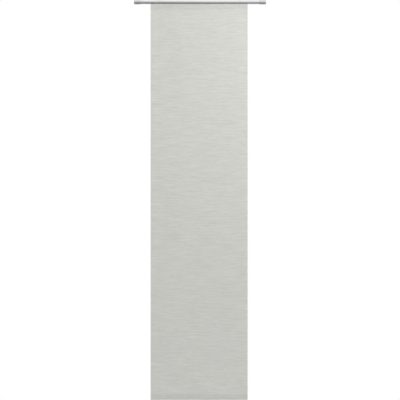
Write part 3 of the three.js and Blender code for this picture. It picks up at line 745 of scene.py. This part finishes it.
# %% [markdown]
# ## Growing things with Geometry Nodes
#
# Slubs, stitches and hooks are hundreds of like forms. A tree of geometry nodes scatters points,
# puts one small form on each, makes them real and gives them their material. Two helpers start
# such a tree with named inputs, and run it once to keep the result as a plain mesh.

# %% Helpers for geometry trees
RANDOM_LOW, RANDOM_HIGH, RANDOM_SEED, RANDOM_RESULT = 2, 3, 8, 1  # a Random Value node's sockets


def new_tree(name, inputs):
    """A geometry tree with named inputs: the tree, its inputs, and the socket for its result."""
    tree = bpy.data.node_groups.new(name, "GeometryNodeTree")
    for label, kind in inputs.items():
        tree.interface.new_socket(label, in_out="INPUT", socket_type=f"NodeSocket{kind}")
    tree.interface.new_socket("Result", in_out="OUTPUT", socket_type="NodeSocketGeometry")
    given = tree.nodes.new("NodeGroupInput").outputs
    return tree, given, tree.nodes.new("NodeGroupOutput").inputs["Result"]


def random_between(tree, low, high, seed):
    """A random number for each point."""
    inputs = {RANDOM_LOW: low, RANDOM_HIGH: high, RANDOM_SEED: seed}
    return add(tree, "FunctionNodeRandomValue", inputs, data_type="FLOAT").outputs[RANDOM_RESULT]


def spindle(tree, sides, rings):
    """A round form one metre long and wide that lies along X, with its poles left and right."""
    ball = add(tree, "GeometryNodeMeshUVSphere", {"Segments": sides, "Rings": rings, "Radius": 0.5})
    lying = {"Geometry": ball.outputs[0], "Rotation": (0, math.pi / 2, 0)}
    return add(tree, "GeometryNodeTransform", lying).outputs[0]


def plant(tree, points, form, scale, material, result, rotation=(0, 0, 0)):
    """Puts the form on every point, makes the copies real, and ends the tree."""
    inputs = {"Points": points, "Instance": form, "Rotation": rotation, "Scale": scale}
    copies = add(tree, "GeometryNodeInstanceOnPoints", inputs)
    real = add(tree, "GeometryNodeRealizeInstances", {0: copies.outputs[0]})
    smooth = add(tree, "GeometryNodeSetShadeSmooth", {0: real.outputs[0]})
    dressed = add(tree, "GeometryNodeSetMaterial", {0: smooth.outputs[0], "Material": material})
    tree.links.new(dressed.outputs[0], result)


def grow(name, tree, values):
    """Runs a tree with its inputs filled, and keeps what it makes as a plain mesh."""
    holder = show(name, bpy.data.meshes.new(f"{name}_seed"))
    modifier = holder.modifiers.new("tree", "NODES")
    modifier.node_group = tree
    for socket in tree.interface.items_tree:
        if socket.in_out == "INPUT":
            modifier[socket.identifier] = values[socket.name]
    settle(holder)
    holder.data.name = name
    holder.data.materials.clear()  # drops the empty slot that the tree leaves before its own
    holder.data.materials.append(values["Material"])
    return holder


print("helpers for geometry trees: new_tree, random_between, spindle, plant, grow")

# %% [markdown]
# ## Slub yarns
#
# A slub is a place where the weft yarn swells. It is a long, thin spindle that lies level in the
# cloth and stands a fraction of a millimetre out of both faces. The tree lays the slubs in rows,
# a few in each row, with a random length, thickness and place.

# %% The slub tree
PLACE_IN_ROW = (0.1, 0.9)  # of a row's height, so that slubs of two rows hardly ever meet


def slub_tree():
    """Scatters level spindles over an upright rectangle."""
    tree, given, result = new_tree(
        "slub_yarns",
        {
            "Rows": "Int", "In Each Row": "Int", "Left": "Float", "Right": "Float",
            "Top": "Float", "Bottom": "Float", "Plane": "Float", "Half Depth": "Float",
            "Shortest": "Float", "Longest": "Float", "Thinnest": "Float", "Thickest": "Float",
            "Seed": "Int", "Material": "Material",
        },
    )
    index = tree.nodes.new("GeometryNodeInputIndex").outputs[0]
    seeds = [calculate(tree, "ADD", given["Seed"], float(step)) for step in range(4)]
    length = random_between(tree, given["Shortest"], given["Longest"], seeds[0])
    thick = random_between(tree, given["Thinnest"], given["Thickest"], seeds[1])
    row = calculate(tree, "FLOOR", calculate(tree, "DIVIDE", index, given["In Each Row"]))
    column = calculate(tree, "MODULO", index, given["In Each Row"])

    along = calculate(tree, "ADD", column, random_between(tree, 0.0, 1.0, seeds[2]))
    along = calculate(tree, "DIVIDE", along, given["In Each Row"])
    width = calculate(tree, "SUBTRACT", given["Right"], given["Left"])
    room = calculate(tree, "SUBTRACT", width, length)
    start = calculate(tree, "MULTIPLY_ADD", length, 0.5, given["Left"])
    x = calculate(tree, "MULTIPLY_ADD", along, room, start)

    down = calculate(tree, "ADD", row, random_between(tree, *PLACE_IN_ROW, seeds[3]))
    down = calculate(tree, "DIVIDE", down, given["Rows"])
    drop = calculate(tree, "SUBTRACT", given["Top"], given["Bottom"])
    z = calculate(tree, "SUBTRACT", given["Top"], calculate(tree, "MULTIPLY", down, drop))

    place = vector(tree, X=x, Y=given["Plane"], Z=z)
    count = calculate(tree, "MULTIPLY", given["Rows"], given["In Each Row"])
    points = add(tree, "GeometryNodePoints", {"Count": count, "Position": place}).outputs[0]
    depth = calculate(tree, "MULTIPLY", given["Half Depth"], 2.0)
    size = vector(tree, X=length, Y=depth, Z=thick)
    plant(tree, points, spindle(tree, sides=8, rings=7), size, given["Material"], result)
    return tree


scatter = slub_tree()
print(f"the slub tree has {len(scatter.nodes)} nodes")

# %% [markdown]
# ## How many slubs, and how big
#
# On the real cloth a slub is about as long as a finger and a millimetre or two thick, and a few
# lie in every centimetre of the drop. They keep clear of the hem and the pocket, where the cloth
# has more than one layer.

# %% Slubs on the panel
SLUB_ROWS = 230
SLUBS_IN_ROW = 5
SLUB_LENGTH = (35 * MM, 100 * MM)
SLUB_HEIGHT = (0.9 * MM, 2.4 * MM)
SLUB_RELIEF = 0.16 * MM  # how far a slub stands out on each face
SLUB_CLEAR = 8 * MM  # from the hem and from the pocket's turn-up
SLUB_SEED = 7

slubs = grow(
    "slub_yarns",
    scatter,
    {
        "Rows": SLUB_ROWS, "In Each Row": SLUBS_IN_ROW,
        "Left": panel_low.x, "Right": panel_high.x,
        "Top": hem_edge - SLUB_CLEAR, "Bottom": pocket_seam + POCKET_TURNUP + SLUB_CLEAR,
        "Plane": face_plane, "Half Depth": CLOTH / 2 + SLUB_RELIEF,
        "Shortest": SLUB_LENGTH[0], "Longest": SLUB_LENGTH[1],
        "Thinnest": SLUB_HEIGHT[0], "Thickest": SLUB_HEIGHT[1],
        "Seed": SLUB_SEED, "Material": slub_yarn,
    },
)
hang(slubs.data)
report(slubs)

# %% [markdown]
# ## Seams
#
# Each seam is a row of lockstitches that shows on both sides of the cloth. A stitch is a short
# length of thread, sunk halfway into the cloth between two needle holes. The hem and the pocket
# have one seam each, and the tree is run for each side of each seam.

# %% The stitch tree and the four rows
STITCH_PITCH = 3.2 * MM
STITCH_LENGTH = 2.8 * MM
THREAD = 0.35 * MM  # thickness


def stitch_tree():
    """Lays stitches end to end along X."""
    tree, given, result = new_tree(
        "lockstitches",
        {
            "Start": "Vector", "Stitches": "Int", "Pitch": "Float", "Length": "Float",
            "Thread": "Float", "Material": "Material",
        },
    )
    step = vector(tree, X=given["Pitch"])
    inputs = {"Count": given["Stitches"], "Start Location": given["Start"], "Offset": step}
    middles = add(tree, "GeometryNodeMeshLine", inputs).outputs[0]
    size = vector(tree, X=given["Length"], Y=given["Thread"], Z=given["Thread"])
    plant(tree, middles, spindle(tree, sides=6, rings=5), size, given["Material"], result)
    return tree


rows = {
    "hem_seam_front": (face_plane - CLOTH / 2, hem_edge + HEM_SEAM),
    "hem_seam_back": (hem_plane + CLOTH / 2, hem_edge + HEM_SEAM),
    "pocket_seam_front": (face_plane - CLOTH / 2, pocket_seam),
    "pocket_seam_back": (seam_plane + CLOTH / 2, pocket_seam),
}
stitching = stitch_tree()
seams = []
for name, (y, z) in rows.items():
    seam = {
        "Start": (panel_low.x + STITCH_PITCH / 2, y, z), "Stitches": int(cut_width / STITCH_PITCH),
        "Pitch": STITCH_PITCH, "Length": STITCH_LENGTH, "Thread": THREAD, "Material": seam_thread,
    }
    seams.append(grow(name, stitching, seam))
report(*seams)

# %% [markdown]
# ## Hook and loop tape
#
# The hem is held on the carrier by touch-and-close tape: stiff hooks on the carrier, soft loops on
# the cloth. Both lie between the carrier and the hem, and show only at the ends and from below.
# Each woven band is a copy of its solid. The loops are a fine, deep relief on theirs, because a
# real pile is far too fine to model. The hook band is thinner than its solid, which leaves room
# for the hooks.

# %% The two bands
BAND = 0.5 * MM  # thickness of the hook band
BAND_EDGE = 0.1 * MM  # how far a band's edges are rounded
PILE_COLOR = (0.7, 0.7, 0.67)


def tape_pile(name, color):
    """Brushed loops: soft, matt and uneven in every direction."""
    material, tree, shader, place = finish(name, color, roughness=1.0)
    shader.inputs["Sheen Weight"].default_value = 0.3
    fluff = grain(tree, place, (1500, 1500, 1500), detail=5)
    tint(tree, shader, fluff, shade(color, 0.8), color)
    relief(tree, shader, fluff, 0.25 * MM)
    return material


loops = finished("loop_tape", "panel", tape_pile("loop_tape_pile", PILE_COLOR), BAND_EDGE)
band = finished("hook_tape", "panel", hook_plastic, BAND_EDGE)
tape_low, tape_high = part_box("hook_tape")
thinner = BAND / (tape_high.y - tape_low.y)
for vertex in band.data.vertices:
    vertex.co.y = tape_high.y - (tape_high.y - vertex.co.y) * thinner
report(loops, band)

# %% [markdown]
# ## The hooks
#
# A hook is a short bent wire that stands out of the band and curls back to it. The tree lays a grid
# of points over the band and puts a hook on each. The wire has only four sides, because there are
# more than a thousand hooks.

# %% The hook tree
HOOK_PITCH = 3 * MM
HOOK_WIRE = 0.16 * MM  # thickness
HOOK_ROOT = 0.3 * MM  # from the band to the middle of a hook's curl
HOOK_CURL = math.radians(230)
HOOK_STEPS = 7
WIRE_SIDES = 4


def hook_tree():
    """Stands hooks on a grid in an upright plane."""
    tree, given, result = new_tree(
        "tape_hooks",
        {
            "Middle": "Vector", "Width": "Float", "Height": "Float", "Along": "Int", "Up": "Int",
            "Reach": "Float", "Wire": "Float", "Material": "Material",
        },
    )
    grid = {
        "Size X": given["Width"], "Size Y": given["Height"],
        "Vertices X": given["Along"], "Vertices Y": given["Up"],
    }
    grid = add(tree, "GeometryNodeMeshGrid", grid).outputs[0]
    upright = {"Geometry": grid, "Translation": given["Middle"], "Rotation": (math.pi / 2, 0, 0)}
    points = add(tree, "GeometryNodeTransform", upright).outputs[0]
    curl = {"Resolution": HOOK_STEPS, "Radius": 0.5, "Start Angle": 0.0, "Sweep Angle": HOOK_CURL}
    curl = add(tree, "GeometryNodeCurveArc", curl).outputs[0]
    thin = calculate(tree, "DIVIDE", calculate(tree, "DIVIDE", given["Wire"], given["Reach"]), 2.0)
    wire = {"Resolution": WIRE_SIDES, "Radius": thin}
    wire = add(tree, "GeometryNodeCurvePrimitiveCircle", wire).outputs[0]
    hook = {"Curve": curl, "Profile Curve": wire, "Fill Caps": True}
    hook = add(tree, "GeometryNodeCurveToMesh", hook).outputs[0]
    size = vector(tree, X=given["Reach"], Y=given["Reach"], Z=given["Reach"])
    plant(tree, points, hook, size, given["Material"], result, rotation=(math.pi, 0, 0))
    return tree


tape_middle = (tape_low + tape_high) / 2
tape_width = tape_high.x - tape_low.x
tape_height = tape_high.z - tape_low.z
hooks = grow(
    "hook_tape_hooks",
    hook_tree(),
    {
        "Middle": (tape_middle.x, tape_high.y - BAND - HOOK_ROOT, tape_middle.z),
        "Width": tape_width - 2 * HOOK_PITCH, "Height": tape_height - HOOK_PITCH,
        "Along": round(tape_width / HOOK_PITCH) - 1, "Up": round(tape_height / HOOK_PITCH),
        "Reach": tape_high.y - tape_low.y - BAND, "Wire": HOOK_WIRE, "Material": hook_plastic,
    },
)
report(hooks)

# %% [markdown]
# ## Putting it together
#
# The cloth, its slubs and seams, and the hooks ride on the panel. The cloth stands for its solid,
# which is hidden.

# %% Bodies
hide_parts("fabric_panel")
for piece in (sheet, slubs, *seams):
    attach(piece, "panel")
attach(hooks, "panel")

# %% [markdown]
# ## Last look
#
# The dressed object must stay the size of the measured one. Both boxes are printed so that they can be
# compared.

# %% Sizes
visual_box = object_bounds()
boxes = {"cad": cad_box, "visual": visual_box}
for name, box in boxes.items():
    print(name, "in mm:", [[round(value / MM, 1) for value in corner] for corner in box])
